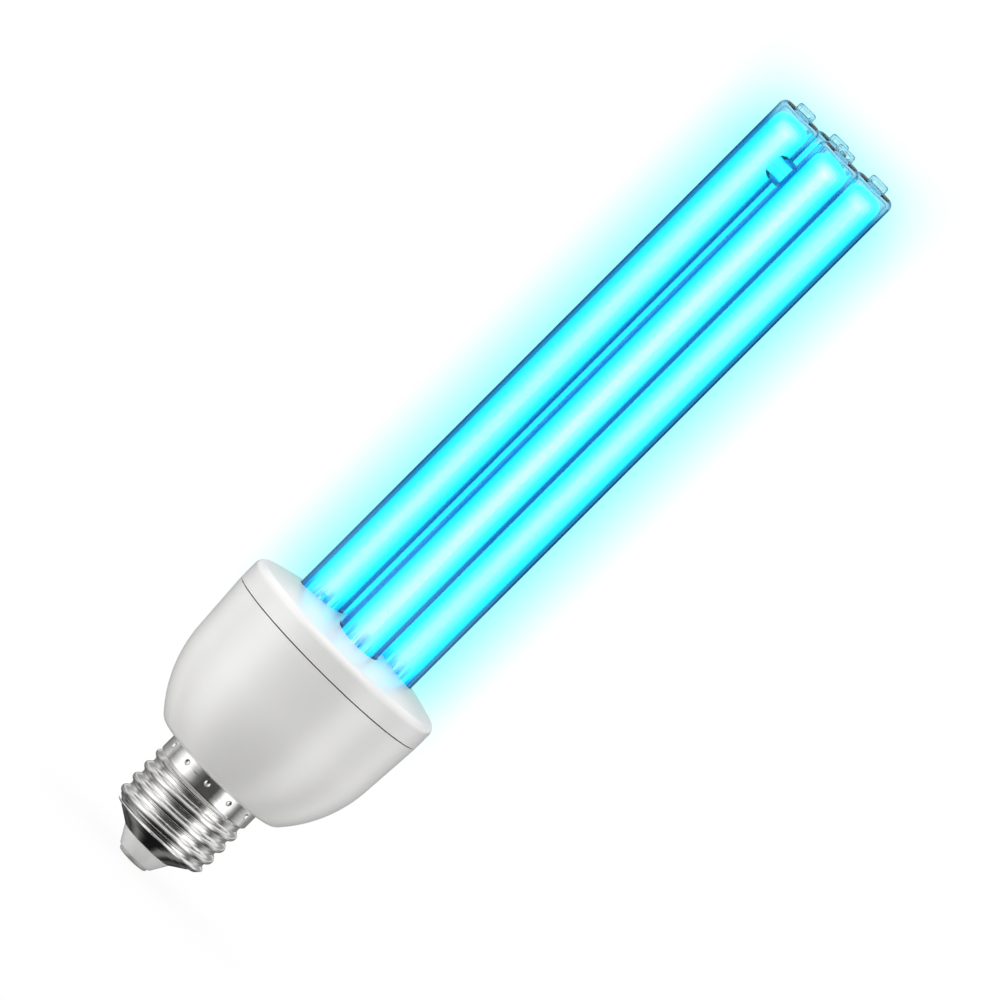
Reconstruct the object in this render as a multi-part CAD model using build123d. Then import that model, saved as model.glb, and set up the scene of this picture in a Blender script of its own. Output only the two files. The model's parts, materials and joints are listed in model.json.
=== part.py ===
from build123d import *
from math import asin, atan2, cos, pi, radians, sin, sqrt, tan
import os

os.makedirs("parts", exist_ok=True)

# Germicidal lamp, sizes in millimetres.
# The lamp's axis is +Z, z = 0 is the face of the centre contact, and the quartz legs point up.

# Screw shell, rolled from sheet with a round thread
sheet_wall = 0.35
thread_crest_r = 13.1
thread_pitch = 3.629
thread_round_r = 1.025
thread_valley_flat = 0.05
thread_first_crest_z = 8.5
thread_full_low_z = 9.3
thread_full_high_z = 21.4
thread_run_out = 1.6
shell_lip_r = 6.0
shell_lip_outer_r = 6.9
shell_lip_z = 4.9
shell_lip_round = 0.5
shell_taper_round = 1.5
collar_round = 0.4
shell_taper_r = 10.2
shell_taper_z = 7.1
collar_r = 12.8
collar_low_z = 22.6
collar_top_z = 26.75
punch_count = 12
punch_ball_r = 1.0
punch_depth = 0.35
punch_turn = -96.5
punch_z = 25.3

# Insulator and centre contact
insulator_tip_r = 4.55
insulator_low_z = 0.9
insulator_tip_round = 0.5
insulator_flange_r = 9.4
insulator_top_z = 8.2
insulator_bore_r = 1.2
eyelet_stem_r = 1.9
eyelet_top_z = 3.6
contact_r = 4.0
contact_edge_round = 0.5
solder_mouth_r = 1.6
solder_depth = 0.6

# Lower housing
rim_r = 27.0
rim_z = 61.7
bowl_draft = 3.8
bowl_shoulder_z = 37.0
bowl_shoulder_round = 32.0
bowl_foot_r = 17.35
bowl_foot_z = 27.47
bowl_foot_round = 3.0
bowl_floor_r = 13.6
bowl_floor_z = 26.8
bowl_wall = 1.8
neck_wall = 1.75
neck_low_z = 23.4
rib_count = 6
rib_wall = 1.5
rib_height = 11.0
snap_z = 58.2
snap_height = 1.2
snap_depth = 0.45
snap_count = 4
snap_arc = 14.0

# Upper cap that holds the legs
seam_gap = 0.3
cap_dome_z = 72.1
cap_dome_r = 84.0
cap_wall = 1.8
cap_edge_round = 2.2
skirt_wall = 1.5
skirt_overlap = 1.5
socket_wall = 1.0
socket_gap = 0.3

# Quartz vessel
leg_circle_r = 11.25
leg_r = 5.72
quartz_wall = 1.0
leg_top_z = 221.3
leg_foot_z = 57.0
leg_edge_round = 1.75
bridge_r = 3.2
bridge_top_drop = 12.1
bridge_foot_rise = 4.8
stub_r = 2.4
stub_height = 1.6
stub_wall = 0.8
stub_edge_round = 0.6
pinch_width = 9.4
pinch_thick = 3.0
pinch_height = 4.6
pinch_below = 2.4
pinch_round = 1.2
cathode_z = 72.5
cathode_span = 5.0
coil_r = 0.7
coil_bore_r = 0.4
lead_in_r = 0.3
sleeve_bore_r = 0.4
sleeve_r = 0.75

# Clearances
fit_gap = 0.05
slide_gap = 0.15
cement_gap = 0.9

# Circuit board, components on its lower side
board_low_z = 51.0
board_thick = 1.6
board_gap = 0.3
board_seat = 1.5
hole_gap = 0.1
lead_r = 0.3
lead_tip = 0.3

# Places on the board: x, y and turn in degrees
choke_place = (0.0, 12.2, 0.0)
reservoir_place = (-9.5, -5.0, 0.0)
resonant_place = (11.5, 0.5, 0.0)
blocking_place = (12.5, -6.0, 0.0)
toroid_place = (2.2, -9.5, 0.0)
inductor_place = (-16.6, 2.2, 90.0)
thermistor_place = (13.8, -13.8, 45.0)
diac_place = (13.7, 14.2, -44.0)
fuse_place = (1.2, 1.5, 90.0)
transistor_places = [(4.5, -17.0, 0.0), (-5.5, -16.5, 0.0)]
diode_places = [(14.8, 6.6, 0.0), (14.2, 10.0, 0.0), (-14.8, 8.0, 0.0), (-13.9, 11.2, 0.0)]
resistor_places = [(-19.2, -5.5, -74.0), (-15.0, -13.7, -47.5), (0.5, -19.5, 0.0)]

# Choke
choke_stand = 0.9
core_width = 19.0
core_height = 15.5
core_depth = 5.0
core_limb = 2.5
core_centre = 4.8
bobbin_wall = 0.8
bobbin_depth = 13.0
choke_pin_spacing = 5.0
choke_row_spacing = 10.6
winding_inset = 0.4
winding_round = 2.0

# Other components
can_r = 6.25
can_length = 17.5
can_groove_drop = 2.5
can_groove_depth = 0.5
can_edge_round = 0.6
can_lead_spacing = 5.0
standoff = 0.8
film_round = 1.0
resonant_size = (13.0, 6.0, 11.0)
resonant_spacing = 10.0
blocking_size = (10.0, 5.0, 9.0)
blocking_spacing = 7.5
toroid_outer_r = 5.0
toroid_inner_r = 2.6
toroid_height = 4.0
winding_thick = 0.45
winding_arcs = [(20.0, 110.0), (140.0, 200.0), (250.0, 310.0)]
inductor_r = 3.5
inductor_height = 10.0
inductor_flange = 1.2
inductor_waist = 0.5
inductor_spacing = 5.0
disc_r = 3.6
disc_thick = 2.4
disc_spacing = 5.0
diac_body = (0.95, 4.0, 6.4)
diode_body = (1.35, 5.2, 8.0)
resistor_body = (1.15, 6.0, 8.0)
fuse_r = 2.0
fuse_length = 9.0
fuse_drop = 4.0
transistor_size = (7.8, 2.7, 10.8)
transistor_drop = 3.0
transistor_hole_r = 1.6
transistor_hole_rise = 3.7
transistor_spacing = 2.3

# Wires in the base
live_wire_r = 0.6
live_bend_r = 8.0
live_start_run = 4.0
live_neck_rise = 1.0
neutral_wire_r = 0.25
neutral_angle = 158.5
neutral_bend_r = 0.6
neutral_groove = 0.7

# Values that follow from the ones above
board_top_z = board_low_z + board_thick
bridge_top_z = leg_top_z - bridge_top_drop
bridge_foot_z = leg_foot_z + bridge_foot_rise
pinch_low_z = leg_foot_z - pinch_below
socket_low_z = bridge_foot_z + bridge_r + socket_gap
neck_r = collar_r - sheet_wall - fit_gap
neck_inner_r = neck_r - neck_wall
cap_low_z = rim_z + seam_gap
leg_angles = {"right": 0.0, "back": 90.0, "left": 180.0, "front": 270.0}
cathode_legs = ["left", "back"]


def bowl_r(z):
    """Outer radius of the housing's straight, drafted upper wall."""
    return rim_r - (rim_z - z) * tan(radians(bowl_draft))


board_r = bowl_r(board_low_z) - bowl_wall - board_gap
bowl_outline = [
    (rim_r, rim_z),
    (bowl_r(bowl_shoulder_z), bowl_shoulder_z),
    (bowl_foot_r, bowl_foot_z),
    (bowl_floor_r, bowl_floor_z),
    (neck_inner_r, bowl_floor_z),
]
bowl_rounds = [bowl_shoulder_round, bowl_foot_round, bowl_foot_round]


def polar(radius, angle):
    """Point at a radius and an angle in degrees about the lamp's axis."""
    return (radius * cos(radians(angle)), radius * sin(radians(angle)))


def turned(lines):
    """Solid of revolution from the closed lines of a section in radius and height."""
    return revolve(Plane.XZ * make_face(lines.edges()), Axis.Z)


def ring(inner_r, outer_r, low_z, high_z):
    """Plain ring about the lamp's axis."""
    tube = Cylinder(outer_r, high_z - low_z) - Cylinder(inner_r, high_z - low_z)
    return Pos(0, 0, (low_z + high_z) / 2) * tube


def rod(x, y, radius, low_z, high_z):
    """Round rod parallel to the lamp's axis."""
    return Pos(x, y, (low_z + high_z) / 2) * Cylinder(radius, high_z - low_z)


def block(x, y, low_z, width, depth, height):
    """Box that stands on a height, centred on a place."""
    return Pos(x, y, low_z + height / 2) * Box(width, depth, height)


def parallel(points, rounds, depth):
    """Corner points and rounds of the open outline that runs depth to the right of another."""
    runs = list(zip(points, points[1:]))
    headings = [atan2(b[1] - a[1], b[0] - a[0]) for a, b in runs]
    shifts = [(depth * sin(h), -depth * cos(h)) for h in headings]
    moved = [(points[0][0] + shifts[0][0], points[0][1] + shifts[0][1])]
    new_rounds = []
    for i, corner in enumerate(points[1:-1]):
        turn = headings[i + 1] - headings[i]
        turn = (turn + pi) % (2 * pi) - pi
        along = depth * tan(turn / 2)
        x = corner[0] + shifts[i][0] + along * cos(headings[i])
        y = corner[1] + shifts[i][1] + along * sin(headings[i])
        moved.append((x, y))
        change = depth if turn > 0 else -depth
        new_rounds.append(max(0.0, rounds[i] + change))
    moved.append((points[-1][0] + shifts[-1][0], points[-1][1] + shifts[-1][1]))
    return moved, new_rounds


def walled(points, rounds, wall):
    """Turned wall of even thickness to the right of an open outline."""
    inner_points, inner_rounds = parallel(points, rounds, wall)
    outer = FilletPolyline(*points, radius=rounds)
    inner = FilletPolyline(*inner_points, radius=inner_rounds)
    ends = Line(points[0], inner_points[0]) + Line(points[-1], inner_points[-1])
    return turned(outer + inner + ends)


def wire_along(points, bends, radius):
    """Round wire along straight runs joined by tangent arcs."""
    path = FilletPolyline(*points, radius=bends)
    section = Plane(path @ 0, z_dir=path % 0) * Circle(radius)
    return sweep(section, path=path)


def thread_valley_r():
    """Radius at the bottom of the round thread, from its pitch and its equal rounds."""
    rise = sqrt((2 * thread_round_r) ** 2 - (thread_pitch / 2) ** 2)
    return thread_crest_r - 2 * thread_round_r + rise


def shell_outline():
    """Outline of the screw shell without its thread, from the top down to the bottom lip."""
    core_r = thread_valley_r() + thread_valley_flat
    points = [
        (collar_r, collar_top_z),
        (collar_r, collar_low_z),
        (core_r, collar_low_z - (collar_r - core_r)),
        (core_r, shell_taper_z + (core_r - shell_taper_r)),
        (shell_taper_r, shell_taper_z),
        (shell_lip_outer_r, shell_lip_z),
        (shell_lip_r, shell_lip_z),
    ]
    rounds = [collar_round] * 2 + [shell_taper_round] * 2 + [shell_lip_round]
    return points, rounds


def thread_ridge(inset):
    """Helical ridge of the round thread, or of its inner face when inset by the sheet's wall."""
    crest_centre_r = thread_crest_r - thread_round_r
    valley_r = thread_valley_r()
    valley_centre_r = valley_r + thread_round_r
    crest_round = thread_round_r - inset
    valley_round = thread_round_r + inset
    half = thread_pitch / 2
    lean = asin(half / (2 * thread_round_r))
    end = asin(sqrt(valley_round**2 - (valley_round - thread_valley_flat) ** 2) / valley_round)
    middle = (lean + end) / 2
    joint = (crest_centre_r + crest_round * cos(lean), crest_round * sin(lean))
    swell = (valley_centre_r - valley_round * cos(middle), half - valley_round * sin(middle))
    base = (valley_centre_r - valley_round * cos(end), half - valley_round * sin(end))
    root_r = base[0] - sheet_wall / 2
    lines = ThreePointArc(joint, (crest_centre_r + crest_round, 0), (joint[0], -joint[1]))
    for side in (1, -1):
        arc_points = [(x, side * z) for x, z in (joint, swell, base)]
        lines += ThreePointArc(*arc_points)
        lines += Line(arc_points[2], (root_r, arc_points[2][1]))
    lines += Line((root_r, base[1]), (root_r, -base[1]))
    start_z = thread_first_crest_z - thread_pitch / 2
    height = collar_low_z - start_z
    path = Helix(thread_pitch, height, thread_crest_r, center=(0, 0, start_z))
    section = Pos(0, 0, start_z) * (Plane.XZ * make_face(lines.edges()))
    return Rot(0, 0, 180) * sweep(section, path=path, is_frenet=True)


def thread_envelope(inset):
    """Space that the thread may fill, so that its two ends run out into the shell's plain wall."""
    crest = thread_crest_r - inset
    plain_r = thread_valley_r() - inset - sheet_wall
    margin = thread_run_out if inset else 0.0
    points = [
        (plain_r, thread_full_low_z - thread_run_out + margin),
        (crest + fit_gap, thread_full_low_z + margin),
        (crest + fit_gap, thread_full_high_z - margin),
        (plain_r, thread_full_high_z + thread_run_out - margin),
    ]
    return turned(Polyline(*points, close=True))


def punch_balls(radius):
    """Balls round the collar that dent it: their outer parts are the punch marks."""
    centre_r = collar_r + punch_ball_r - punch_depth
    balls = []
    for i in range(punch_count):
        x, y = polar(centre_r, punch_turn + i * 360 / punch_count)
        balls.append(Pos(x, y, punch_z) * Sphere(radius))
    return balls


def screw_shell():
    points, rounds = shell_outline()
    shell = walled(points, rounds, sheet_wall)
    shell += thread_ridge(0.0) & thread_envelope(0.0)
    shell -= thread_ridge(sheet_wall) & thread_envelope(sheet_wall)
    sheet_middle = rod(0, 0, collar_r - sheet_wall / 2, collar_low_z, collar_top_z)
    for boss in punch_balls(punch_ball_r + sheet_wall):
        shell += boss & sheet_middle
    for dent in punch_balls(punch_ball_r):
        shell -= dent
    return shell


def base_insulator():
    """Insulating cone with a neck through the shell's lip and a flange inside it."""
    slope = (shell_taper_z - shell_lip_z) / (shell_taper_r - shell_lip_outer_r)
    lip_top_z = shell_lip_z + sheet_wall + fit_gap
    flange_foot_r = shell_lip_outer_r - sheet_wall
    flange_z = lip_top_z + (insulator_flange_r - flange_foot_r) * slope
    points = [
        (insulator_bore_r, insulator_low_z),
        (insulator_tip_r, insulator_low_z),
        (shell_lip_outer_r - fit_gap, shell_lip_z - fit_gap),
        (shell_lip_r - fit_gap, shell_lip_z - fit_gap),
        (shell_lip_r - fit_gap, lip_top_z),
        (flange_foot_r, lip_top_z),
        (insulator_flange_r, flange_z),
        (insulator_flange_r, insulator_top_z),
        (insulator_bore_r, insulator_top_z),
    ]
    rounds = [insulator_tip_round] + [0.0] * (len(points) - 3)
    outline = FilletPolyline(*points, radius=rounds) + Line(points[-1], points[0])
    bore = ring(0.5 * insulator_bore_r, eyelet_stem_r + fit_gap, insulator_low_z, eyelet_top_z + fit_gap)
    return turned(outline) - bore


def centre_contact():
    """Contact disc with a stem up the insulator's bore and a countersink for the solder."""
    bore_r = live_wire_r + slide_gap
    points = [
        (solder_mouth_r, 0),
        (contact_r, 0),
        (contact_r, insulator_low_z - fit_gap),
        (eyelet_stem_r, insulator_low_z - fit_gap),
        (eyelet_stem_r, eyelet_top_z),
        (bore_r, eyelet_top_z),
        (bore_r, solder_depth),
    ]
    rounds = [contact_edge_round] + [0.0] * (len(points) - 3)
    return turned(FilletPolyline(*points, radius=rounds) + Line(points[-1], points[0]))


def contact_solder():
    """Solder that fills the countersink, just above the contact's face."""
    bore_r = live_wire_r + slide_gap
    slope = (solder_mouth_r - bore_r) / solder_depth
    top_z = solder_depth - fit_gap
    points = [
        (0, fit_gap),
        (solder_mouth_r - 2 * fit_gap * slope, fit_gap),
        (solder_mouth_r - (top_z + fit_gap) * slope, top_z),
        (0, top_z),
    ]
    return turned(Polyline(*points, close=True))


def bowl_block(inset):
    """Bowl without its hollow, inset from the outside."""
    points, rounds = parallel(bowl_outline, bowl_rounds, inset)
    outline = FilletPolyline(*points, radius=rounds)
    outline += Polyline(points[-1], (0, points[-1][1]), (0, points[0][1]), points[0])
    return turned(outline)


def lower_housing():
    housing = walled(bowl_outline, bowl_rounds, bowl_wall)
    housing += ring(neck_inner_r, neck_r, neck_low_z, bowl_floor_z + bowl_wall)
    inside = bowl_block(bowl_wall / 2)
    for i in range(rib_count):
        rib = block(board_r, 0, board_low_z - rib_height, 2 * board_seat, rib_wall, rib_height)
        rib += block(rim_r, 0, board_low_z - rib_height, rim_r - board_r + bowl_wall, rib_wall, rib_height)
        housing += (Rot(0, 0, i * 360 / rib_count) * rib) & inside
    snap_r = bowl_r(snap_z) - bowl_wall + snap_depth
    housing -= ring(board_r, snap_r, snap_z - snap_height / 2, snap_z + snap_height / 2)
    groove_half = punch_ball_r + sheet_wall
    housing -= ring(neck_r - punch_depth, collar_r, punch_z - groove_half, punch_z + groove_half)
    groove_length = neck_r - neck_inner_r + 2 * fit_gap
    groove_x = neck_r - neutral_groove / 2 + fit_gap
    edge_x = (neck_r + neck_inner_r) / 2
    groove = block(groove_x, 0, neck_low_z, neutral_groove, neutral_groove, bowl_floor_z - neck_low_z)
    groove += block(edge_x, 0, neck_low_z, groove_length, neutral_groove, neutral_wire_r)
    housing -= Rot(0, 0, neutral_angle) * groove
    return housing


def leg_centre(name):
    return polar(leg_circle_r, leg_angles[name])


def leg_body(name, inset):
    """One leg's outside, rounded at its top, or its hollow when inset by the wall."""
    x, y = leg_centre(name)
    body = rod(x, y, leg_r - inset, leg_foot_z + inset, leg_top_z - inset)
    top_edge = body.edges().filter_by(GeomType.CIRCLE).sort_by(Axis.Z)[-1]
    return fillet(top_edge, leg_edge_round - inset)


def bridge(first, second, radius, z):
    """Round bridge from the middle of one leg to the middle of the next."""
    a = Vector(*leg_centre(first), z)
    b = Vector(*leg_centre(second), z)
    return Plane((a + b) / 2, z_dir=b - a) * Cylinder(radius, (b - a).length)


def vessel(inset):
    """Outside of the quartz vessel, or its hollow when inset by the wall."""
    body = Part()
    for name in leg_angles:
        body += leg_body(name, inset)
    body += bridge("left", "front", bridge_r - inset, bridge_top_z)
    body += bridge("right", "back", bridge_r - inset, bridge_top_z)
    body += bridge("front", "right", bridge_r - inset, bridge_foot_z)
    return body


def cathode_lead_places():
    """Places of the two lead-in wires of each cathode."""
    places = []
    for name in cathode_legs:
        x, y = leg_centre(name)
        across = leg_angles[name] + 90
        for side in (-0.5, 0.5):
            dx, dy = polar(side * cathode_span, across)
            places.append((x + dx, y + dy))
    return places


def discharge_tube():
    """Four quartz legs fused into one vessel: left, front, right and back in the gas path's order.

    Each leg's top has a sealed stub that is open to the leg's hollow.
    """
    outside = vessel(0.0)
    for name in leg_angles:
        x, y = leg_centre(name)
        stub = rod(x, y, stub_r, leg_top_z - quartz_wall / 2, leg_top_z + stub_height)
        outside += fillet(stub.edges().sort_by(Axis.Z)[-1], stub_edge_round)
    for name in cathode_legs:
        x, y = leg_centre(name)
        seal = Box(pinch_thick, pinch_width, pinch_height)
        seal = fillet(seal.edges().filter_by(Axis.Z), pinch_round)
        outside += Pos(x, y, pinch_low_z + pinch_height / 2) * (Rot(0, 0, leg_angles[name]) * seal)
    tube = outside - vessel(quartz_wall)
    for name in leg_angles:
        x, y = leg_centre(name)
        tube -= rod(x, y, stub_r - stub_wall, leg_top_z - 1.5 * quartz_wall, leg_top_z + stub_height - stub_wall)
    for x, y in cathode_lead_places():
        tube -= rod(x, y, lead_in_r + fit_gap, pinch_low_z, leg_foot_z + 2 * quartz_wall)
    return tube


def cathode_coils():
    """Coiled electrodes across the tops of the lead-in wires, each as the tube that its turns fill."""
    coils = []
    for name in cathode_legs:
        x, y = leg_centre(name)
        length = cathode_span - 2 * lead_in_r - 2 * fit_gap
        coil = Cylinder(coil_r, length) - Cylinder(coil_bore_r, length)
        turn = Rot(0, 0, leg_angles[name]) * Rot(90, 0, 0)
        coils.append(Pos(x, y, cathode_z - coil_r) * (turn * coil))
    return Compound(coils)


def cathode_leads():
    """Lead-in wires from the board through the pinch seals to the electrodes."""
    wires = [rod(x, y, lead_in_r, board_low_z - lead_tip, cathode_z) for x, y in cathode_lead_places()]
    return Compound(wires)


def lead_sleeves():
    """Insulating sleeves on the lead-in wires between the board and the pinch seals."""
    low_z = board_top_z + fit_gap
    high_z = pinch_low_z - fit_gap
    sleeves = []
    for x, y in cathode_lead_places():
        sleeves.append(rod(x, y, sleeve_r, low_z, high_z) - rod(x, y, sleeve_bore_r, low_z, high_z))
    return Compound(sleeves)


def cap_block(inset):
    """Domed cap without its hollow, inset from the outside."""
    outer_r = rim_r - inset
    ball_r = cap_dome_r - inset
    centre_z = cap_dome_z - cap_dome_r
    edge = (outer_r, centre_z + sqrt(ball_r**2 - outer_r**2))
    halfway = asin(outer_r / ball_r) / 2
    shoulder = (ball_r * sin(halfway), centre_z + ball_r * cos(halfway))
    lines = ThreePointArc(edge, shoulder, (0, centre_z + ball_r))
    lines += Polyline((0, centre_z + ball_r), (0, cap_low_z), (outer_r, cap_low_z), edge)
    section = make_face(lines.edges())
    corner = section.vertices().group_by(Axis.X)[-1].sort_by(Axis.Y)[-1]
    section = fillet(corner, max(cap_edge_round - inset, cap_edge_round / 4))
    return revolve(Plane.XZ * section, Axis.Z)


def skirt():
    """Ring under the cap's band that fits inside the housing and clamps the board."""
    low_z = board_top_z + fit_gap
    outer_r = bowl_r(low_z) - bowl_wall - slide_gap
    rim_in_r = rim_r - bowl_wall - slide_gap
    band_r = rim_r - cap_wall / 2
    top_z = cap_low_z + skirt_overlap
    points = [
        (outer_r - skirt_wall, low_z),
        (outer_r, low_z),
        (rim_in_r, cap_low_z),
        (band_r, cap_low_z),
        (band_r, top_z),
        (outer_r - skirt_wall, top_z),
    ]
    return turned(Polyline(*points, close=True))


def snap_lug():
    """Lug of the skirt that clicks into the housing's groove."""
    wall_r = bowl_r(snap_z) - bowl_wall
    outer_r = wall_r + snap_depth - slide_gap
    low_z = snap_z - snap_height / 2 + slide_gap
    high_z = snap_z + snap_height / 2 - slide_gap
    points = [
        (wall_r - slide_gap - skirt_wall / 2, low_z),
        (wall_r - slide_gap, low_z),
        (outer_r, snap_z),
        (outer_r, high_z),
        (wall_r - slide_gap - skirt_wall / 2, high_z),
    ]
    section = Plane.XZ * make_face(Polyline(*points, close=True).edges())
    return Rot(0, 0, -snap_arc / 2) * revolve(section, Axis.Z, revolution_arc=snap_arc)


def cement_top_z():
    """Height of the shoulder above the cement, a wall below the dome at the legs' outer side."""
    reach = leg_circle_r + leg_r + cement_gap
    return cap_dome_z - cap_dome_r + sqrt(cap_dome_r**2 - reach**2) - cap_wall


def tube_holder_cap():
    cap = cap_block(0.0) - cap_block(cap_wall)
    cap += skirt()
    inside = cap_block(cap_wall / 2)
    for name in leg_angles:
        x, y = leg_centre(name)
        cap += rod(x, y, leg_r + cement_gap + socket_wall, socket_low_z, cap_dome_z) & inside
    for name in leg_angles:
        x, y = leg_centre(name)
        cap -= rod(x, y, leg_r + cement_gap, socket_low_z - fit_gap, cement_top_z())
        cap -= rod(x, y, leg_r + slide_gap, socket_low_z, cap_dome_z + fit_gap)
    for i in range(snap_count):
        cap += Rot(0, 0, (i + 0.5) * 360 / snap_count) * snap_lug()
    return cap


def tube_cement():
    """Cement between each leg and its socket."""
    low_z = socket_low_z
    high_z = cement_top_z() - fit_gap
    rings = []
    for name in leg_angles:
        x, y = leg_centre(name)
        outer = rod(x, y, leg_r + cement_gap - fit_gap, low_z, high_z)
        rings.append(outer - rod(x, y, leg_r + fit_gap, low_z, high_z))
    return Compound(rings)


def lead_row(place, spacing, count=2):
    """Straight row of lead places centred on a place on the board."""
    x, y, turn = place
    row = []
    for i in range(count):
        dx, dy = polar((i - (count - 1) / 2) * spacing, turn)
        row.append((x + dx, y + dy))
    return row


def choke_lead_places():
    x, y, turn = choke_place
    rows = []
    for side in (-0.5, 0.5):
        rows += lead_row((x, y + side * choke_row_spacing, turn), choke_pin_spacing)
    return rows


def circuit_board():
    """Round board, drilled for the lamp's four lead-in wires."""
    board = rod(0, 0, board_r, board_low_z, board_top_z)
    for x, y in cathode_lead_places():
        board -= rod(x, y, lead_in_r + hole_gap, board_low_z, board_top_z)
    return board


def leads(places, low_z):
    """Straight leads from a component's body up to the board."""
    group = Part()
    for x, y in places:
        group += rod(x, y, lead_r, low_z, board_low_z)
    return group


def core_low_z():
    return board_low_z - choke_stand - core_height


def choke_core():
    """Two E-shaped ferrite halves that meet halfway up."""
    x, y, _ = choke_place
    window_width = (core_width - core_centre) / 2 - core_limb
    half_height = core_height / 2
    window_shift = (core_centre + window_width) / 2
    halves = []
    for side in (0, 1):
        low_z = core_low_z() + side * half_height
        half = block(x, y, low_z, core_width, core_depth, half_height)
        window_z = low_z + (1 - side) * core_limb
        for sign in (-1, 1):
            half -= block(x + sign * window_shift, y, window_z, window_width, 2 * core_depth,
                          half_height - core_limb)
        halves.append(half)
    return Compound(halves)


def bobbin_heights():
    """Lowest and highest faces of the bobbin's two flanges."""
    low_z = core_low_z() + core_limb + fit_gap
    high_z = core_low_z() + core_height - core_limb - fit_gap
    return low_z, high_z


def bobbin_width():
    return core_width - 2 * core_limb - 4 * fit_gap


def choke_bobbin():
    """Bobbin with two flanges, two pin rails and four pins."""
    x, y, _ = choke_place
    low_z, high_z = bobbin_heights()
    tube_size = core_centre + 2 * fit_gap + 2 * bobbin_wall
    bobbin = block(x, y, low_z, tube_size, core_depth + 2 * fit_gap + 2 * bobbin_wall, high_z - low_z)
    for flange_z in (low_z, high_z - bobbin_wall):
        bobbin += block(x, y, flange_z, bobbin_width(), bobbin_depth, bobbin_wall)
    hole = block(x, y, low_z, core_centre + 2 * fit_gap, core_depth + 2 * fit_gap, high_z - low_z)
    bobbin -= hole
    rail_depth = (bobbin_depth - core_depth) / 2 - 4 * fit_gap
    rail_shift = (bobbin_depth - rail_depth) / 2
    for sign in (-1, 1):
        bobbin += block(x, y + sign * rail_shift, high_z - fit_gap, bobbin_width(), rail_depth,
                        board_low_z - high_z)
    return bobbin + leads(choke_lead_places(), high_z)


def choke_winding():
    """Enamelled winding between the bobbin's flanges."""
    x, y, _ = choke_place
    low_z, high_z = bobbin_heights()
    low_z += bobbin_wall + fit_gap
    height = high_z - bobbin_wall - fit_gap - low_z
    outer = block(x, y, low_z, bobbin_width() - 2 * winding_inset, bobbin_depth - 2 * winding_inset, height)
    outer = fillet(outer.edges().filter_by(Axis.Z), winding_round)
    room = 4 * fit_gap + 2 * bobbin_wall
    return outer - block(x, y, low_z, core_centre + room, core_depth + room, height)


def reservoir_capacitor():
    """Electrolytic can with its crimped groove near the leads."""
    x, y, _ = reservoir_place
    high_z = board_low_z - standoff
    can = rod(x, y, can_r, high_z - can_length, high_z)
    can = fillet(can.edges().filter_by(GeomType.CIRCLE), can_edge_round)
    groove = Torus(can_r + can_groove_depth / 2, can_groove_depth)
    can -= Pos(x, y, high_z - can_groove_drop) * groove
    return can + leads(lead_row(reservoir_place, can_lead_spacing), high_z - can_groove_drop)


def film_capacitor(place, size, spacing):
    """Dipped film capacitor with rounded edges and two leads."""
    x, y, turn = place
    width, depth, height = size
    low_z = board_low_z - standoff - height
    body = block(0, 0, low_z, width, depth, height)
    body = fillet(body.edges().filter_by(Axis.Z), film_round)
    return Pos(x, y, 0) * (Rot(0, 0, turn) * body) + leads(lead_row(place, spacing), low_z + height / 2)


def toroid_section(swell):
    """Section of the ring core, or of a winding on it."""
    width = toroid_outer_r - toroid_inner_r + 2 * swell
    middle = (toroid_outer_r + toroid_inner_r) / 2
    shape = Rectangle(width, toroid_height + 2 * swell)
    return Pos(middle, 0, toroid_centre_z()) * (Plane.XZ * shape)


def toroid_centre_z():
    return board_low_z - fit_gap - winding_thick - toroid_height / 2


def drive_toroid():
    x, y, _ = toroid_place
    return Pos(x, y, 0) * revolve(toroid_section(0.0), Axis.Z)


def toroid_windings():
    """Three windings on the ring core, each an arc of close turns."""
    x, y, _ = toroid_place
    windings = []
    for start, end in winding_arcs:
        outside = revolve(toroid_section(winding_thick), Axis.Z, revolution_arc=end - start)
        winding = outside - revolve(toroid_section(fit_gap), Axis.Z)
        windings.append(Pos(x, y, 0) * (Rot(0, 0, start) * winding))
    return Compound(windings)


def filter_inductor():
    """Drum core whose waist holds its winding."""
    x, y, _ = inductor_place
    high_z = board_low_z - standoff
    low_z = high_z - inductor_height
    body = rod(x, y, inductor_r, low_z, high_z)
    waist = Cylinder(2 * inductor_r, inductor_height - 2 * inductor_flange)
    waist -= Cylinder(inductor_r - inductor_waist, inductor_height)
    body -= Pos(x, y, (low_z + high_z) / 2) * waist
    return body + leads(lead_row(inductor_place, inductor_spacing), high_z - inductor_flange / 2)


def thermistor():
    x, y, turn = thermistor_place
    centre_z = board_low_z - standoff - disc_r
    disc = Rot(90, 0, 0) * Cylinder(disc_r, disc_thick)
    placed = Pos(x, y, centre_z) * (Rot(0, 0, turn) * disc)
    return placed + leads(lead_row(thermistor_place, disc_spacing), centre_z)


def axial_part(place, body):
    """Lying round component on one wire that is bent up to the board at both ends."""
    x, y, turn = place
    radius, length, span = body
    height = board_low_z - radius - slide_gap
    shape = Rot(0, 90, 0) * Cylinder(radius, length)
    shape += Rot(0, 90, 0) * Cylinder(lead_r - fit_gap, span)
    shape = Pos(x, y, height) * (Rot(0, 0, turn) * shape)
    return shape + leads(lead_row(place, span), height - lead_r)


def axial_group(places, body):
    return Compound([axial_part(place, body) for place in places])


def fuse_heights():
    high_z = board_low_z - fuse_drop
    return high_z - fuse_length, high_z


def fuse_resistor():
    """Fusible resistor that stands in the live lead."""
    x, y, _ = fuse_place
    low_z, high_z = fuse_heights()
    return rod(x, y, fuse_r, low_z, high_z) + leads([(x, y)], low_z - fuse_r / 2)


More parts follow.
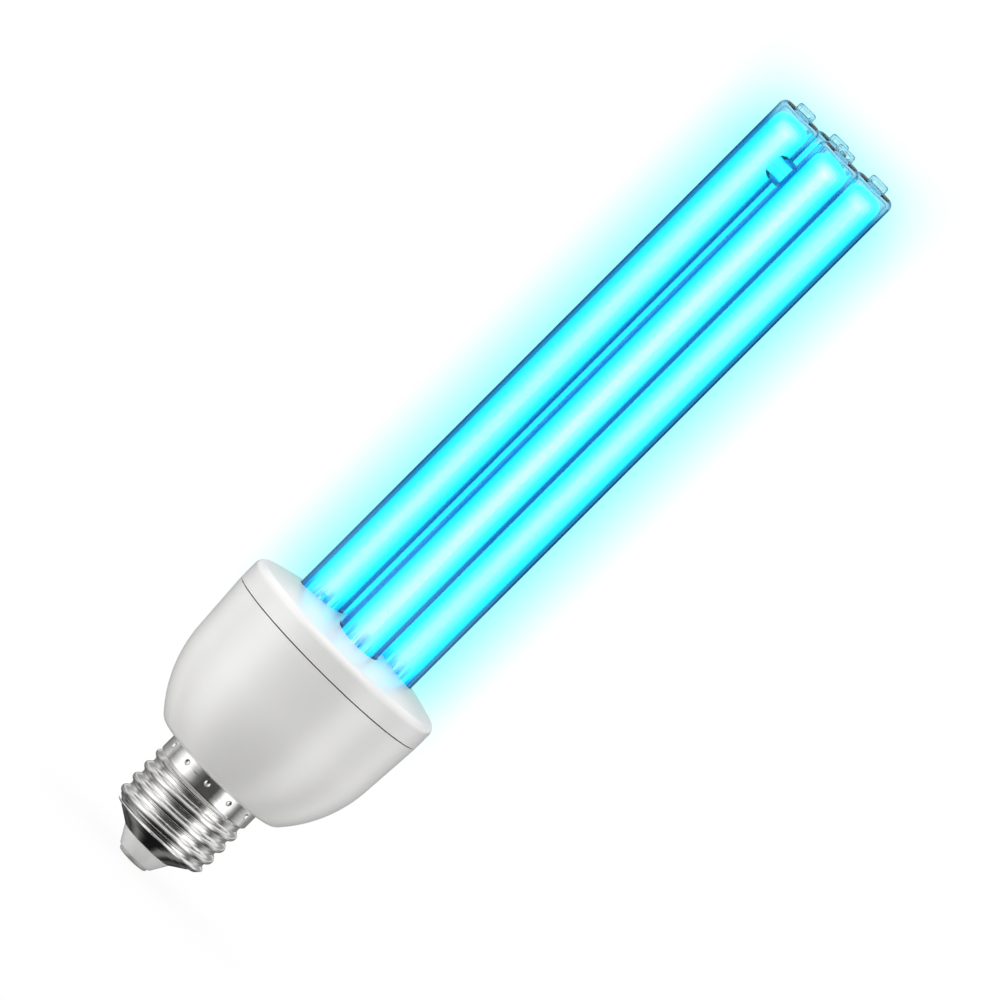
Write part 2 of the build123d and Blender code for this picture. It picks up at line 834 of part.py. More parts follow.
def transistor(place):
    """Flat power transistor that hangs from three leads, with its fixing hole."""
    x, y, turn = place
    width, depth, height = transistor_size
    low_z = board_low_z - transistor_drop - height
    body = block(0, 0, low_z, width, depth, height)
    body = chamfer(body.edges().filter_by(Axis.Y), depth / 6)
    hole = Rot(90, 0, 0) * Cylinder(transistor_hole_r, 2 * depth)
    body -= Pos(0, 0, low_z + transistor_hole_rise) * hole
    placed = Pos(x, y, 0) * (Rot(0, 0, turn) * body)
    return placed + leads(lead_row(place, transistor_spacing, 3), low_z + height - depth / 2)


def live_lead():
    """Insulated wire from the fusible resistor down the axis to the centre contact."""
    x, y, _ = fuse_place
    start_z = fuse_heights()[0] - fuse_r / 2
    points = [
        (x, y, start_z),
        (x, y, start_z - live_start_run),
        (0, 0, neck_low_z + live_neck_rise),
        (0, 0, solder_depth + fit_gap),
    ]
    return wire_along(points, [live_bend_r] * 2, live_wire_r)


def neutral_lead():
    """Bare wire down inside the neck, round its lower edge and up under the shell's collar."""
    inner_r = neck_inner_r - 2 * neutral_wire_r
    outer_r = neck_r - neutral_wire_r - fit_gap
    low_z = neck_low_z - neutral_wire_r
    points = [
        (*polar(inner_r, neutral_angle), board_low_z),
        (*polar(inner_r, neutral_angle), low_z),
        (*polar(outer_r, neutral_angle), low_z),
        (*polar(outer_r, neutral_angle), punch_z),
    ]
    return wire_along(points, [neutral_bend_r] * 2, neutral_wire_r)


nodes = {
    "discharge_tube": discharge_tube,
    "cathode_coils": cathode_coils,
    "cathode_leads": cathode_leads,
    "lead_sleeves": lead_sleeves,
    "tube_cement": tube_cement,
    "tube_holder_cap": tube_holder_cap,
    "lower_housing": lower_housing,
    "screw_shell": screw_shell,
    "base_insulator": base_insulator,
    "centre_contact": centre_contact,
    "contact_solder": contact_solder,
    "circuit_board": circuit_board,
    "choke_core": choke_core,
    "choke_bobbin": choke_bobbin,
    "choke_winding": choke_winding,
    "reservoir_capacitor": reservoir_capacitor,
    "resonant_capacitor": lambda: film_capacitor(resonant_place, resonant_size, resonant_spacing),
    "blocking_capacitor": lambda: film_capacitor(blocking_place, blocking_size, blocking_spacing),
    "drive_toroid": drive_toroid,
    "toroid_windings": toroid_windings,
    "filter_inductor": filter_inductor,
    "thermistor": thermistor,
    "rectifier_diodes": lambda: axial_group(diode_places, diode_body),
    "resistors": lambda: axial_group(resistor_places, resistor_body),
    "diac": lambda: axial_group([diac_place], diac_body),
    "fuse_resistor": fuse_resistor,
    "switching_transistors": lambda: Compound([transistor(place) for place in transistor_places]),
    "live_lead": live_lead,
    "neutral_lead": neutral_lead,
}

for node, make in nodes.items():
    shape = make()
    print(node, "solids", len(shape.solids()), "volume", round(shape.volume, 2))
    export_step(shape, f"parts/{node}.step")
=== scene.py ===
"""Looks of the germicidal lamp: lit quartz legs, a glossy white housing and a bright screw base."""

import json
import math

import bmesh
import bpy
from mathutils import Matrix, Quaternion, Vector


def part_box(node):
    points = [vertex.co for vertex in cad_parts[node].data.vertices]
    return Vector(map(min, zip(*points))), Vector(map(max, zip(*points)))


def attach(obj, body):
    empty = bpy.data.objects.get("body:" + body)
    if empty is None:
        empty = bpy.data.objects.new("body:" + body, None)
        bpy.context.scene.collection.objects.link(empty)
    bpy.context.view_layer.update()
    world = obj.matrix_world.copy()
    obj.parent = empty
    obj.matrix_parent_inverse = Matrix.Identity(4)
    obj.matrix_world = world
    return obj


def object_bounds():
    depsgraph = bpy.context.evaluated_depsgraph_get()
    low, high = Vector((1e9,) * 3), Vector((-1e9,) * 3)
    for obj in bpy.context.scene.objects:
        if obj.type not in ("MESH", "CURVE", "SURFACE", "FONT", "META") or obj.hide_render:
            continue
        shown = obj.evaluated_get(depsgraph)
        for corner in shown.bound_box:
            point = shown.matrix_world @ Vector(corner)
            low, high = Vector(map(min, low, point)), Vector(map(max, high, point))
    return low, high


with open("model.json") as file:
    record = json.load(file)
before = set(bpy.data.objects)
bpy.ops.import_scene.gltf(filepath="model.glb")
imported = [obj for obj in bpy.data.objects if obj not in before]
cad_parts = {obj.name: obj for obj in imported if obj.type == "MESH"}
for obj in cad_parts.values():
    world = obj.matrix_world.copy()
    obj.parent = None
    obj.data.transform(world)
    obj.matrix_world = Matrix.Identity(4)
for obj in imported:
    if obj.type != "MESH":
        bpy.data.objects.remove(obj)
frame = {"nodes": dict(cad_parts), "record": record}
cad_low, cad_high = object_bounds()
nodes = frame["nodes"]
slot_of = {part["node"]: part["material_slot"] for part in frame["record"]["subparts"]}

white = (1.0, 1.0, 1.0)

# The quartz vessel, in metres and degrees
leg_radius = 0.00572
quartz_wall = 0.001
stub_height = 0.0016
bridge_drop = 0.0121
bridge_radius = 0.0032
leg_angles = (0.0, 90.0, 180.0, 270.0)
bridged_legs = ((180.0, 270.0), (0.0, 90.0))

tube_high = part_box("discharge_tube")[1]
cap_low, cap_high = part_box("tube_holder_cap")
leg_circle = tube_high.x - leg_radius
leg_top = tube_high.z - stub_height
bundle_radius = leg_circle + leg_radius

# The quartz: clear, stained a little at its foot, deep blue along its walls (by absorption, with a painted navy
# shade at its grazing edges) and paler at its shoulders and stubs. The smudges' heights are from the top of the
# cap, the others' from the top of the legs.
clear_tints = ((0.3, (0.93, 0.98, 1.0)), (0.7, white))
smudge_tints = ((0.4, (0.05, 0.3, 0.6)), (0.5, (0.5, 0.8, 1.0)), (0.6, white))
smudge_heights = (-0.001, 0.003)
# Painted shade: the glass's colour turns navy at grazing angles, standing in for the dark edges of a lit tube
painted_rim_shade = (0.04, 0.3, 0.62)
painted_rim_facing = (0.4, 0.75)
quartz_roughness = (0.0, 0.02)
quartz_index = 1.46
wall_absorption = (0.0, 0.6, 0.84)
wall_density = 1000.0
shoulder_density = 260.0
shoulder_heights = (-0.007, -0.003)
stub_share = 0.4
stub_heights = (-0.0005, 0.0003)

# The discharge: one glow that fills the legs, with whiter columns of (radius, strength) in its middle
glow_gap = 0.00012
glow_rise = 0.004
glow_end = 0.002
glow_rounding = 0.6
glow_sides = 40
glow_tints = ((0.3, (0.55, 0.95, 1.0)), (0.7, (0.75, 1.0, 1.0)))
glow_skin = ((0.3, (0.03, 0.55, 0.7)), (0.7, (0.06, 0.65, 0.8)))
glow_skin_strength = 0.25
glow_colour = (0.035, 0.62, 1.0)
glow_strength = 1600.0
glow_absorption = (0.65, 0.4, 0.0)
glow_density = 1000.0
core_colour = (1.0, 0.05, 0.02)
core_sides = 32
bright_columns = ((0.0036, 150.0), (0.0029, 670.0), (0.0021, 730.0), (0.0013, 2000.0))

# The halo, a painted cyan glow round the legs: its foot is set from the cap's lower edge and its head from the
# top of the legs
halo_reach = 0.0130
halo_density = 30.0
halo_foot = (-0.0010, 0.0240)
halo_head = (-0.0140, 0.0120)
halo_rounding = 0.003
halo_absorption = (0.0, 1.0, 1.0)
round_sides = 64

# White plastic, with a soft lacquer-like gloss over it
plastic_cloud_scale = 45.0
plastic_clouds = ((0.2, 0.99), (0.8, 1.01))
plastic_gloss_spread = 0.01
plastic_grain_scale = 3500.0
plastic_grain_height = 0.000004
plastic_coat = {"Coat Weight": 1.0, "Coat Roughness": 0.28, "Coat IOR": 1.65}

# The other stuffs: a noise's middle range carries their colour and gloss, and some have a lacquer coat
noise_middle = (0.3, 0.7)
lacquer_roughness = 0.12
shell_tints = ((0.3, (0.7, 0.69, 0.68)), (0.7, (0.84, 0.84, 0.83)))
copper_tints = ((0.1, (0.24, 0.08, 0.03)), (0.7, (0.72, 0.34, 0.14)))
laminate_tints = ((0.3, (0.4, 0.27, 0.12)), (0.7, (0.58, 0.42, 0.22)))

# The studio's windows and flags, from the camera's side round by the left: (share of the turn, brightness)
studio_bands = (
    (0.0, 0.09), (0.046, 0.08), (0.079, 0.2), (0.124, 0.8), (0.171, 1.8), (0.2125, 1.4), (0.249, 0.8),
    (0.2875, 0.3), (0.329, 0.75), (0.385, 0.4), (0.435, 0.25), (0.518, 0.2), (0.6, 0.25), (0.643, 0.3),
    (0.696, 0.8), (0.74, 0.5), (0.779, 0.15), (0.805, 0.4), (0.835, 1.4), (0.865, 1.9), (0.9, 1.6),
    (0.925, 0.5), (0.955, 0.09))
# How much white lies over them with height: (sine of the elevation, share)
studio_rise = (
    (0.0, 0.0), (0.05, 0.65), (0.14, 0.6), (0.25, 0.2), (0.42, 0.2), (0.55, 1.0), (0.75, 1.0), (0.88, 0.2))

# The floor and the even light: (start, end) in metres or as a share, then the values there
floor_radius = 12.0
floor_height = -0.0002
# Painted shade: the floor's lit colour is darker on the camera's side, to cut the light it throws up on the
# lamp's lower front
floor_bounce_shade = (-0.08, 0.03, 0.5, 0.8)
floor_white_seen = (0.0, 0.06, 0.93, 1.0)
# Painted shadow: gloss sees the floor's windows dimmed near the lamp
painted_shadow_near_lamp = (0.012, 0.07, 0.12, 1.0)
window_far = (0.9, 1.3, 1.0, 0.03)
ambient_strength = (-1.0, 0.3, 0.5, 0.97)

# Soft boxes: name, place, (width, height) and power in watts
soft_boxes = (
    ("left_box", (-0.8, -0.2, 0.3), (0.6, 0.7), 2.7),
    ("right_box", (0.8, -0.1, 0.25), (0.6, 0.7), 1.3),
    ("top_box", (0.0, -0.35, 0.95), (0.6, 0.5), 3.8))
lit_place = (0.0, 0.0, 0.07)

# The photograph's camera, in metres, degrees and millimetres of lens
camera_distance = 2.1
camera_height = 0.275
camera_azimuth = -6.5
camera_lens = 344.0
sensor_width = 36.0
image_width = 1001
middle_pixel = (486.7, 503.3)
lamp_tilt = 45.0


# Node helpers

def new_material(name):
    made = bpy.data.materials.new(name)
    made.use_nodes = True
    tree = made.node_tree
    shader = tree.nodes["Principled BSDF"]
    return made, tree, shader


def add(tree, kind, **values):
    """A node with its own settings, and the values of its input sockets."""
    node = tree.nodes.new(kind)
    for name, value in values.items():
        if hasattr(node, name):
            setattr(node, name, value)
        else:
            node.inputs[name.replace("_", " ")].default_value = value
    return node


def shaded_point(tree, space="Object"):
    """The shaded point in that space, and its X, Y and Z by name."""
    point = add(tree, "ShaderNodeTexCoord").outputs[space]
    apart = add(tree, "ShaderNodeSeparateXYZ")
    tree.links.new(point, apart.inputs["Vector"])
    return point, apart.outputs


def vector_length(tree, vector):
    node = add(tree, "ShaderNodeVectorMath", operation="LENGTH")
    tree.links.new(vector, node.inputs[0])
    return node.outputs["Value"]


def object_noise(tree, scale, stretch=(1.0, 1.0, 1.0), detail=3.0):
    """Noise in the object's own space; stretch below 1 draws it out along that axis."""
    place = add(tree, "ShaderNodeTexCoord")
    mapping = add(tree, "ShaderNodeMapping", Scale=stretch)
    noise = add(tree, "ShaderNodeTexNoise", Scale=scale, Detail=detail)
    tree.links.new(place.outputs["Object"], mapping.inputs["Vector"])
    tree.links.new(mapping.outputs["Vector"], noise.inputs["Vector"])
    return noise.outputs["Fac"]


def ramp(tree, source, stops):
    """A colour ramp from source, whose stops are (place, colour)."""
    node = add(tree, "ShaderNodeValToRGB")
    band = node.color_ramp
    while len(band.elements) < len(stops):
        band.elements.new(0.5)
    for element, (place, colour) in zip(band.elements, stops):
        element.position = place
        element.color = (*colour, 1.0)
    tree.links.new(source, node.inputs["Fac"])
    return node.outputs["Color"]


def grey_stops(bands):
    return [(place, (value, value, value)) for place, value in bands]


def fade(tree, source, start, end, first, last, smooth=False):
    """first where source is start, last where it is end, and held beyond them."""
    node = add(tree, "ShaderNodeMapRange", interpolation_type="SMOOTHSTEP" if smooth else "LINEAR")
    node.inputs["From Min"].default_value = start
    node.inputs["From Max"].default_value = end
    node.inputs["To Min"].default_value = first
    node.inputs["To Max"].default_value = last
    tree.links.new(source, node.inputs["Value"])
    return node.outputs["Result"]


def spread(tree, noise, low, high):
    """The noise's middle range mapped to low..high."""
    return fade(tree, noise, *noise_middle, low, high)


def combine(tree, operation, first, second):
    node = add(tree, "ShaderNodeMath", operation=operation)
    tree.links.new(first, node.inputs[0])
    tree.links.new(second, node.inputs[1])
    return node.outputs["Value"]


def product(tree, *shares):
    total = shares[0]
    for share in shares[1:]:
        total = combine(tree, "MULTIPLY", total, share)
    return total


def plain_rays(tree):
    """1 for what the camera sees straight or through glass, or else 0."""
    rays = add(tree, "ShaderNodeLightPath")
    return combine(tree, "MAXIMUM", rays.outputs["Is Camera Ray"], rays.outputs["Is Transmission Ray"])


def glossy_rays(tree):
    """1 for what gloss and metal see, or else 0."""
    return add(tree, "ShaderNodeLightPath").outputs["Is Glossy Ray"]


def blend(tree, share, first, second):
    """The socket first goes over into the colour or socket second as share rises from 0 to 1."""
    node = add(tree, "ShaderNodeMix", data_type="RGBA")
    first_colour, second_colour = node.inputs[6], node.inputs[7]
    tree.links.new(share, node.inputs["Factor"])
    tree.links.new(first, first_colour)
    if isinstance(second, tuple):
        second_colour.default_value = (*second, 1.0)
    else:
        tree.links.new(second, second_colour)
    return node.outputs[2]


def blend_shaders(tree, share, first, second):
    node = add(tree, "ShaderNodeMixShader")
    tree.links.new(share, node.inputs["Fac"])
    tree.links.new(first, node.inputs[1])
    tree.links.new(second, node.inputs[2])
    return node.outputs["Shader"]


def bump(tree, shader, source, height):
    """A bump of that height in metres on the shader's normal."""
    node = add(tree, "ShaderNodeBump", Strength=1.0, Distance=height)
    tree.links.new(source, node.inputs["Height"])
    tree.links.new(node.outputs["Normal"], shader.inputs["Normal"])


def shade(colour, factor):
    return tuple(min(1.0, channel * factor) for channel in colour)


def patterned(name, pattern, stops, roughness, metallic=0.0, height=0.0, coat=0.0):
    """Stuff whose colour, gloss and surface all follow one pattern; pattern is a function that adds it."""
    made, tree, shader = new_material(name)
    marks = pattern(tree)
    tree.links.new(ramp(tree, marks, stops), shader.inputs["Base Color"])
    tree.links.new(spread(tree, marks, *roughness), shader.inputs["Roughness"])
    shader.inputs["Metallic"].default_value = metallic
    shader.inputs["Coat Weight"].default_value = coat
    shader.inputs["Coat Roughness"].default_value = lacquer_roughness
    if height:
        bump(tree, shader, marks, height)
    return made


def varied(name, colour, contrast, roughness, scale, stretch=(1.0, 1.0, 1.0), **surface):
    """Moulded, coated or drawn stuff of one colour that varies a little."""
    low, high = noise_middle
    stops = ((low, shade(colour, 1 - contrast)), (high, shade(colour, 1 + contrast)))
    return patterned(name, lambda tree: object_noise(tree, scale, stretch), stops, roughness, **surface)


# Materials of the lit vessel

def quartz_glass():
    """Clear quartz that takes a deep blue where the line of sight runs along its wall, with a painted navy
    shade at its grazing edges.
    """
    made, tree, shader = new_material("quartz_glass")
    height = shaded_point(tree)[1]["Z"]
    streaks = object_noise(tree, 500.0, (1.0, 1.0, 0.01), detail=1.0)
    clear = ramp(tree, streaks, clear_tints)
    smudges = ramp(tree, object_noise(tree, 900.0, (1.0, 1.0, 0.08), detail=2.0), smudge_tints)
    low, high = (cap_high.z + rise for rise in smudge_heights)
    foot = fade(tree, height, low, high, 1.0, 0.0)
    stained = blend(tree, foot, clear, smudges)
    # Painted shade: Layer Weight's facing tints the glass navy towards its edges
    facing = add(tree, "ShaderNodeLayerWeight", Blend=0.5).outputs["Facing"]
    painted_rim_colour = blend(tree, fade(tree, facing, *painted_rim_facing, 0.0, 1.0), stained, painted_rim_shade)
    tree.links.new(painted_rim_colour, shader.inputs["Base Color"])
    tree.links.new(spread(tree, streaks, *quartz_roughness), shader.inputs["Roughness"])
    shader.inputs["Transmission Weight"].default_value = 1.0
    shader.inputs["IOR"].default_value = quartz_index
    low, high = (leg_top + rise for rise in shoulder_heights)
    shoulder = fade(tree, height, low, high, wall_density, shoulder_density)
    low, high = (leg_top + rise for rise in stub_heights)
    stub = fade(tree, height, low, high, 1.0, stub_share)
    absorption = add(tree, "ShaderNodeVolumeAbsorption", Color=(*wall_absorption, 1.0))
    tree.links.new(product(tree, shoulder, stub), absorption.inputs["Density"])
    tree.links.new(absorption.outputs["Volume"], tree.nodes["Material Output"].inputs["Volume"])
    return made


def discharge():
    """The glowing gas: it shines in one colour and takes up what comes from behind it."""
    made, tree, shader = new_material("discharge")
    wisps = object_noise(tree, 500.0, (1.0, 1.0, 0.05))
    tree.links.new(ramp(tree, wisps, glow_tints), shader.inputs["Base Color"])
    tree.links.new(ramp(tree, wisps, glow_skin), shader.inputs["Emission Color"])
    shader.inputs["Emission Strength"].default_value = glow_skin_strength
    shader.inputs["Transmission Weight"].default_value = 1.0
    shader.inputs["IOR"].default_value = 1.0
    shader.inputs["Roughness"].default_value = 0.0
    glow = add(tree, "ShaderNodeEmission", Color=(*glow_colour, 1.0), Strength=glow_strength)
    absorption = add(tree, "ShaderNodeVolumeAbsorption", Color=(*glow_absorption, 1.0), Density=glow_density)
    both = add(tree, "ShaderNodeAddShader")
    tree.links.new(glow.outputs["Emission"], both.inputs[0])
    tree.links.new(absorption.outputs["Volume"], both.inputs[1])
    tree.links.new(both.outputs["Shader"], tree.nodes["Material Output"].inputs["Volume"])
    return made


def bright_core(name, strength):
    """The whiter middle of the discharge, seen only through what glows around it."""
    made, tree, shader = new_material(name)
    tree.nodes.remove(shader)
    glow = add(tree, "ShaderNodeEmission", Color=(*core_colour, 1.0), Strength=strength)
    tree.links.new(glow.outputs["Emission"], tree.nodes["Material Output"].inputs["Volume"])
    return made


def painted_glow_tint():
    """Painted glow: a tint round the legs that takes a little red from the white behind it, most of it near the
    legs.

    The tint thins out sideways, below the foot of the legs and above their tops.
    """
    made, tree, shader = new_material("painted_glow_tint")
    tree.nodes.remove(shader)
    point, axes = shaded_point(tree)
    flat = add(tree, "ShaderNodeCombineXYZ")
    tree.links.new(axes["X"], flat.inputs["X"])
    tree.links.new(axes["Y"], flat.inputs["Y"])
    from_axis = vector_length(tree, flat.outputs["Vector"])
    aside = fade(tree, from_axis, bundle_radius, bundle_radius + halo_reach, halo_density, 0.0)
    low, high = (cap_low.z + rise for rise in halo_foot)
    foot = fade(tree, axes["Z"], low, high, 0.0, 1.0, smooth=True)
    low, high = (leg_top + rise for rise in halo_head)
    head = fade(tree, axes["Z"], low, high, 1.0, 0.0, smooth=True)
    # Painted glow: the red taken from what lies behind and near the legs stands in for the lamp's cyan light on
    # it
    absorption = add(tree, "ShaderNodeVolumeAbsorption", Color=(*halo_absorption, 1.0))
    density = product(tree, aside, foot, head, plain_rays(tree))
    tree.links.new(density, absorption.inputs["Density"])
    tree.links.new(absorption.outputs["Volume"], tree.nodes["Material Output"].inputs["Volume"])
    return made


# Materials of the base, the housing and what is inside

def white_plastic(name, colour, gloss):
    """Moulded white plastic: a faint cloudiness and a very fine grain."""
    made, tree, shader = new_material(name)
    clouds = object_noise(tree, plastic_cloud_scale, detail=1.0)
    grain = object_noise(tree, plastic_grain_scale, detail=1.0)
    stops = [(place, shade(colour, factor)) for place, factor in plastic_clouds]
    roughness = spread(tree, clouds, gloss - plastic_gloss_spread, gloss + plastic_gloss_spread)
    tree.links.new(ramp(tree, clouds, stops), shader.inputs["Base Color"])
    tree.links.new(roughness, shader.inputs["Roughness"])
    for socket, value in plastic_coat.items():
        shader.inputs[socket].default_value = value
    bump(tree, shader, grain, plastic_grain_height)
    return made


def rolling_marks(tree):
    """The faint rings that rolling leaves round a sheet shell."""
    return object_noise(tree, 110.0, (1.0, 1.0, 6.0))


def paper_fibres(tree):
    """The woven look of paper laminate under its varnish."""
    return object_noise(tree, 900.0, (1.0, 0.15, 1.0))


def wire_turns(tree):
    """Bands across a winding, one for each turn."""
    place = add(tree, "ShaderNodeTexCoord")
    wave = add(tree, "ShaderNodeTexWave", wave_type="BANDS", bands_direction="Z", Scale=520.0, Distortion=0.4)
    tree.links.new(place.outputs["Object"], wave.inputs["Vector"])
    return wave.outputs["Fac"]


materials = {
    "quartz_glass": quartz_glass(),
    "housing_plastic": white_plastic("housing_plastic", (0.8, 0.795, 0.78), 0.3),
    "cap_plastic": white_plastic("cap_plastic", (0.79, 0.785, 0.775), 0.34),
    "shell_metal": patterned("bright_shell", rolling_marks, shell_tints, (0.05, 0.12), metallic=1.0,
                             height=0.00008),
    "insulator_plastic": white_plastic("insulator_plastic", (0.94, 0.94, 0.93), 0.35),
    "contact_brass": varied("contact_brass", (0.82, 0.8, 0.76), 0.08, (0.3, 0.45), 600.0, metallic=0.5),
    "solder": varied("solder", (0.7, 0.71, 0.72), 0.12, (0.25, 0.45), 900.0, height=0.00002, metallic=1.0),
    "cement": varied("cement", (0.8, 0.79, 0.76), 0.07, (0.7, 0.9), 1500.0, height=0.00004),
    "tungsten": varied("tungsten", (0.34, 0.34, 0.36), 0.12, (0.35, 0.5), 4000.0, metallic=1.0),
    "lead_wire": varied("lead_wire", (0.66, 0.66, 0.67), 0.1, (0.25, 0.4), 1500.0, (1, 1, 0.1), metallic=1.0),
    "sleeve": varied("sleeve", (0.75, 0.74, 0.68), 0.1, (0.6, 0.8), 2500.0, height=0.00003),
    "board": patterned("laminate", paper_fibres, laminate_tints, (0.35, 0.5), height=0.00001),
    "ferrite": varied("ferrite", (0.05, 0.05, 0.055), 0.25, (0.5, 0.7), 2500.0, height=0.00001),
    "bobbin_plastic": varied("bobbin_plastic", (0.03, 0.03, 0.035), 0.2, (0.3, 0.45), 500.0),
    "copper_winding": patterned("wound_copper", wire_turns, copper_tints, (0.25, 0.4), metallic=0.85,
                                height=0.0001),
    "can_sleeve": varied("can_sleeve", (0.02, 0.03, 0.09), 0.2, (0.2, 0.32), 300.0, coat=0.4),
    "film_resin": varied("film_resin", (0.42, 0.05, 0.03), 0.15, (0.15, 0.3), 250.0, height=0.00002, coat=0.5),
    "disc_resin": varied("disc_resin", (0.1, 0.22, 0.12), 0.15, (0.45, 0.6), 1200.0, height=0.00002),
    "diode_resin": varied("diode_resin", (0.025, 0.025, 0.03), 0.2, (0.4, 0.55), 1800.0, height=0.000005),
    "resistor_coat": varied("resistor_coat", (0.6, 0.45, 0.26), 0.1, (0.25, 0.4), 800.0, coat=0.3),
    "wire_insulation": varied("wire_insulation", (0.5, 0.03, 0.02), 0.12, (0.3, 0.4), 600.0, coat=0.2),
}

for name, node in nodes.items():
    node.data.materials.clear()
    node.data.materials.append(materials[slot_of[name]])


# Pieces

def lathe(build, outline, centre, sides):
    """A closed turned solid from (radius, height) points, the first and last of them on the axis."""
    turn = [math.tau * step / sides for step in range(sides)]
    rings = []
    for radius, height in outline:
        ring = []
        for a in turn if radius else [0.0]:
            place = (centre[0] + radius * math.cos(a), centre[1] + radius * math.sin(a), height)
            ring.append(build.verts.new(place))
        rings.append(ring)
    for lower, upper in zip(rings, rings[1:]):
        for step in range(sides):
            after = (step + 1) % sides
            corners = [lower[step % len(lower)], lower[after % len(lower)],
                       upper[after % len(upper)], upper[step % len(upper)]]
            unique = list(dict.fromkeys(corners))
            build.faces.new(unique)


def rounded_column(radius, low, high, edge, steps=6):
    """The outline of a column with rounded ends."""
    outline = [(0, low)]
    for end, start in ((low + edge, -90.0), (high - edge, 0.0)):
        for step in range(steps + 1):
            a = math.radians(start + 90.0 * step / steps)
            outline.append((radius - edge + edge * math.cos(a), end + edge * math.sin(a)))
    return outline + [(0, high)]


def mesh_object(name, build, material=None, smooth_angle=35.0):
    bmesh.ops.recalc_face_normals(build, faces=build.faces)
    mesh = bpy.data.meshes.new(name)
    build.to_mesh(mesh)
    build.free()
    for face in mesh.polygons:
        face.use_smooth = True
    mesh.set_sharp_from_angle(angle=math.radians(smooth_angle))
    mesh.materials.append(material)
    made = bpy.data.objects.new(name, mesh)
    bpy.context.scene.collection.objects.link(made)
    return made


def leg_place(angle):
    a = math.radians(angle)
    return leg_circle * math.cos(a), leg_circle * math.sin(a)


def legs_of_glow(name, radius, low, high, material, sides):
    """Four columns that follow the hollows of the legs."""
    build = bmesh.new()
    for angle in leg_angles:
        lathe(build, rounded_column(radius, low, high, radius * glow_rounding), leg_place(angle), sides)
    return mesh_object(name, build, material)


def glow_bridge(first, second, radius, sides=24):
    """A rod of glow through the hollow bridge between two legs."""
    start = Vector((*leg_place(first), 0))
    end = Vector((*leg_place(second), 0))
    span = (end - start).length
    build = bmesh.new()
    lathe(build, [(0, 0), (radius, 0), (radius, span), (0, span)], (0, 0), sides)
    build.transform((end - start).to_track_quat("Z", "Y").to_matrix().to_4x4())
    bmesh.ops.translate(build, verts=build.verts, vec=start + Vector((0, 0, leg_top - bridge_drop)))
    return mesh_object("glow_bridge", build)


def join_solids(piece, others):
    """The union of piece and the others, as one mesh."""
    for other in others:
        union = piece.modifiers.new("union", "BOOLEAN")
        union.operation = "UNION"
        union.solver = "EXACT"
        union.object = other
    graph = bpy.context.evaluated_depsgraph_get()
    mesh = bpy.data.meshes.new_from_object(piece.evaluated_get(graph))
    piece.modifiers.clear()
    piece.data = mesh
    for other in others:
        bpy.data.objects.remove(other)


hollow_radius = leg_radius - quartz_wall - glow_gap
hollow_bridge = bridge_radius - quartz_wall - glow_gap
glow_low = cap_low.z + glow_rise
glow_high = leg_top - glow_end
glow = legs_of_glow("discharge_glow", hollow_radius, glow_low, glow_high, discharge(), glow_sides)
join_solids(glow, [glow_bridge(first, second, hollow_bridge) for first, second in bridged_legs])
glow_pieces = [glow]
for number, (radius, strength) in enumerate(bright_columns, 1):
    name = f"glow_core_{number}"
    inset = hollow_radius - radius
    material = bright_core(name, strength)
    glow_pieces.append(legs_of_glow(name, radius, glow_low + inset, glow_high - inset, material, core_sides))
for piece in glow_pieces:
    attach(piece, "root")


# Halo, floor, light and camera

def halo():
    """A soft column round the legs that carries the painted cyan glow."""
    build = bmesh.new()
    low = cap_low.z + halo_foot[0]
    high = leg_top + halo_head[1]
    column = rounded_column(bundle_radius + halo_reach, low, high, halo_rounding, steps=4)
    lathe(build, column, (0, 0), round_sides)
    return mesh_object("halo", build, painted_glow_tint())


def surroundings(tree, axes):
    """What bright metal and gloss see of the studio round them: soft windows between dark flags."""
    around = combine(tree, "ARCTAN2", axes["X"], axes["Y"])
    turn = fade(tree, around, -math.pi, math.pi, 0.0, 1.0)
    return ramp(tree, turn, grey_stops(studio_bands))


def floor_material():
    """White floor that keeps a faint shadow near the lamp; its lit colour is darker on the camera's side as
    painted shade, and gloss sees the studio's windows in it with a painted shadow near the lamp.
    """
    made, tree, shader = new_material("floor")
    tree.nodes.remove(shader)
    point, axes = shaded_point(tree)
    distance = vector_length(tree, point)
    lit = add(tree, "ShaderNodeBsdfDiffuse")
    # Painted shade: darker floor colour in front, so less light bounces onto the lamp's lower front
    tree.links.new(fade(tree, axes["Y"], *floor_bounce_shade), lit.inputs["Color"])
    windows = add(tree, "ShaderNodeEmission")
    tree.links.new(surroundings(tree, axes), windows.inputs["Color"])
    # Painted shadow: the windows seen in the floor fade out near the lamp
    painted_shadow = fade(tree, distance, *painted_shadow_near_lamp)
    far = fade(tree, distance, *window_far)
    tree.links.new(product(tree, painted_shadow, far), windows.inputs["Strength"])
    plain_white = add(tree, "ShaderNodeEmission", Color=(*white, 1.0), Strength=1.0)
    share = product(tree, plain_rays(tree), fade(tree, distance, *floor_white_seen, smooth=True))
    other = blend_shaders(tree, glossy_rays(tree), lit.outputs["BSDF"], windows.outputs["Emission"])
    final = blend_shaders(tree, share, other, plain_white.outputs["Emission"])
    tree.links.new(final, tree.nodes["Material Output"].inputs["Surface"])
    return made


def floor():
    build = bmesh.new()
    bmesh.ops.create_circle(build, cap_ends=True, segments=round_sides, radius=floor_radius)
    made = mesh_object("floor", build, floor_material())
    made.location.z = floor_height
    return made


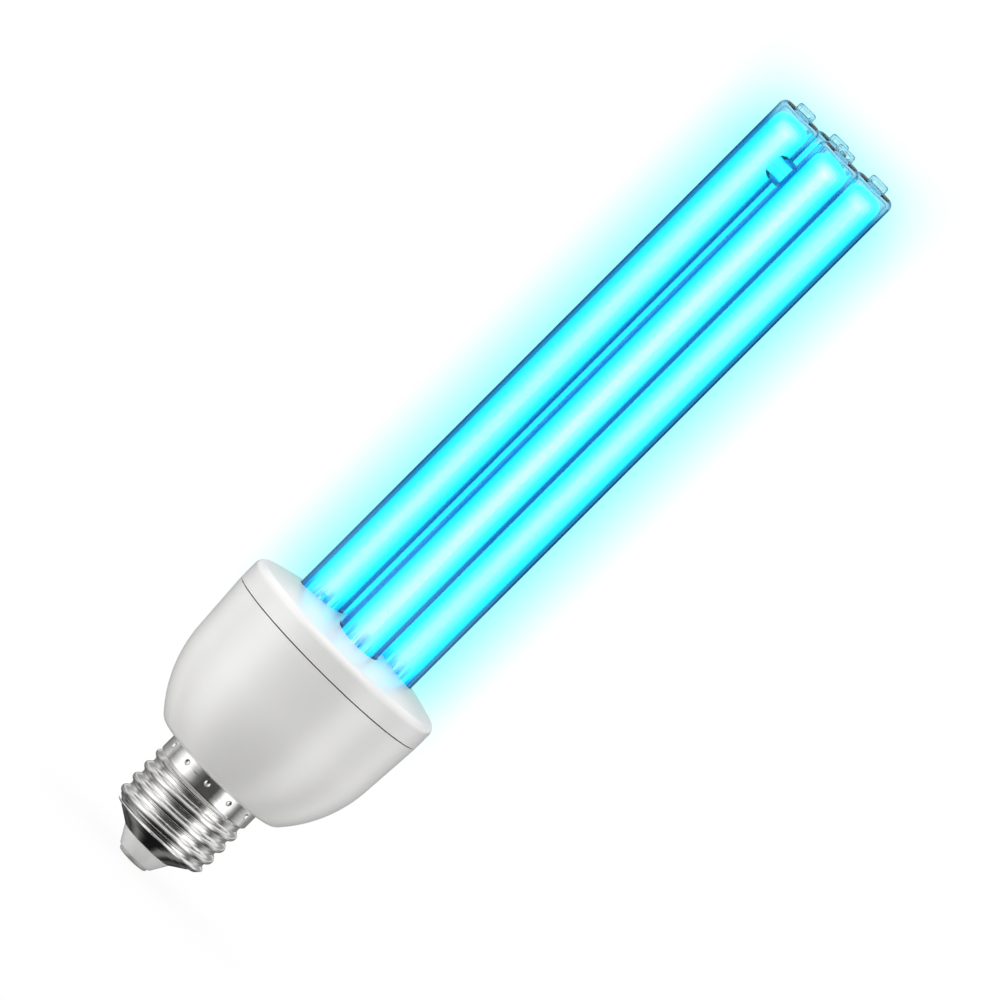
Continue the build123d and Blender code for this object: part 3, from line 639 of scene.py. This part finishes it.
def studio_world():
    """Soft even light; the camera and glass see white, and metal sees bright windows and dark flags."""
    world = bpy.data.worlds.new("studio")
    bpy.context.scene.world = world
    world.use_nodes = True
    tree = world.node_tree
    ambient = tree.nodes["Background"]
    ambient.inputs["Color"].default_value = (*white, 1.0)
    axes = shaded_point(tree, "Generated")[1]
    tree.links.new(fade(tree, axes["Y"], *ambient_strength), ambient.inputs["Strength"])
    rise = ramp(tree, axes["Z"], grey_stops(studio_rise))
    windows = add(tree, "ShaderNodeBackground", Strength=1.0)
    tree.links.new(blend(tree, rise, surroundings(tree, axes), white), windows.inputs["Color"])
    plain_white = add(tree, "ShaderNodeBackground", Color=(*white, 1.0), Strength=1.0)
    other = blend_shaders(tree, glossy_rays(tree), ambient.outputs["Background"], windows.outputs["Background"])
    final = blend_shaders(tree, plain_rays(tree), other, plain_white.outputs["Background"])
    tree.links.new(final, tree.nodes["World Output"].inputs["Surface"])


def soft_box(name, place, size, power):
    """A rectangular lamp at place that faces the lit place; size is (width, height)."""
    data = bpy.data.lights.new(name, "AREA")
    data.shape = "RECTANGLE"
    data.size, data.size_y = size
    data.energy = power
    made = bpy.data.objects.new(name, data)
    made.location = place
    made.rotation_euler = (Vector(lit_place) - Vector(place)).to_track_quat("-Z", "Y").to_euler()
    made.visible_glossy = False
    bpy.context.scene.collection.objects.link(made)


def photo_camera():
    """The photograph's camera: far off, a little above the lamp, and rolled so that the lamp leans."""
    data = bpy.data.cameras.new("camera")
    data.lens = camera_lens
    data.sensor_width = sensor_width
    made = bpy.data.objects.new("camera", data)
    bpy.context.scene.collection.objects.link(made)
    middle = (cad_low + cad_high) / 2
    a = math.radians(camera_azimuth)
    made.location = (camera_distance * math.sin(a), -camera_distance * math.cos(a), camera_height)
    toward = middle - made.location
    turn = toward.to_track_quat("-Z", "Y") @ Quaternion((0, 0, 1), math.radians(lamp_tilt))
    metres_a_pixel = toward.length * sensor_width / camera_lens / image_width
    centre = (image_width - 1) / 2
    aside = turn @ Vector((centre - middle_pixel[0], middle_pixel[1] - centre, 0)) * metres_a_pixel
    made.location += aside
    made.rotation_euler = turn.to_euler()
    bpy.context.scene.camera = made


floor()
halo()
studio_world()
for box in soft_boxes:
    soft_box(*box)
photo_camera()
bpy.context.scene.view_settings.view_transform = "Standard"
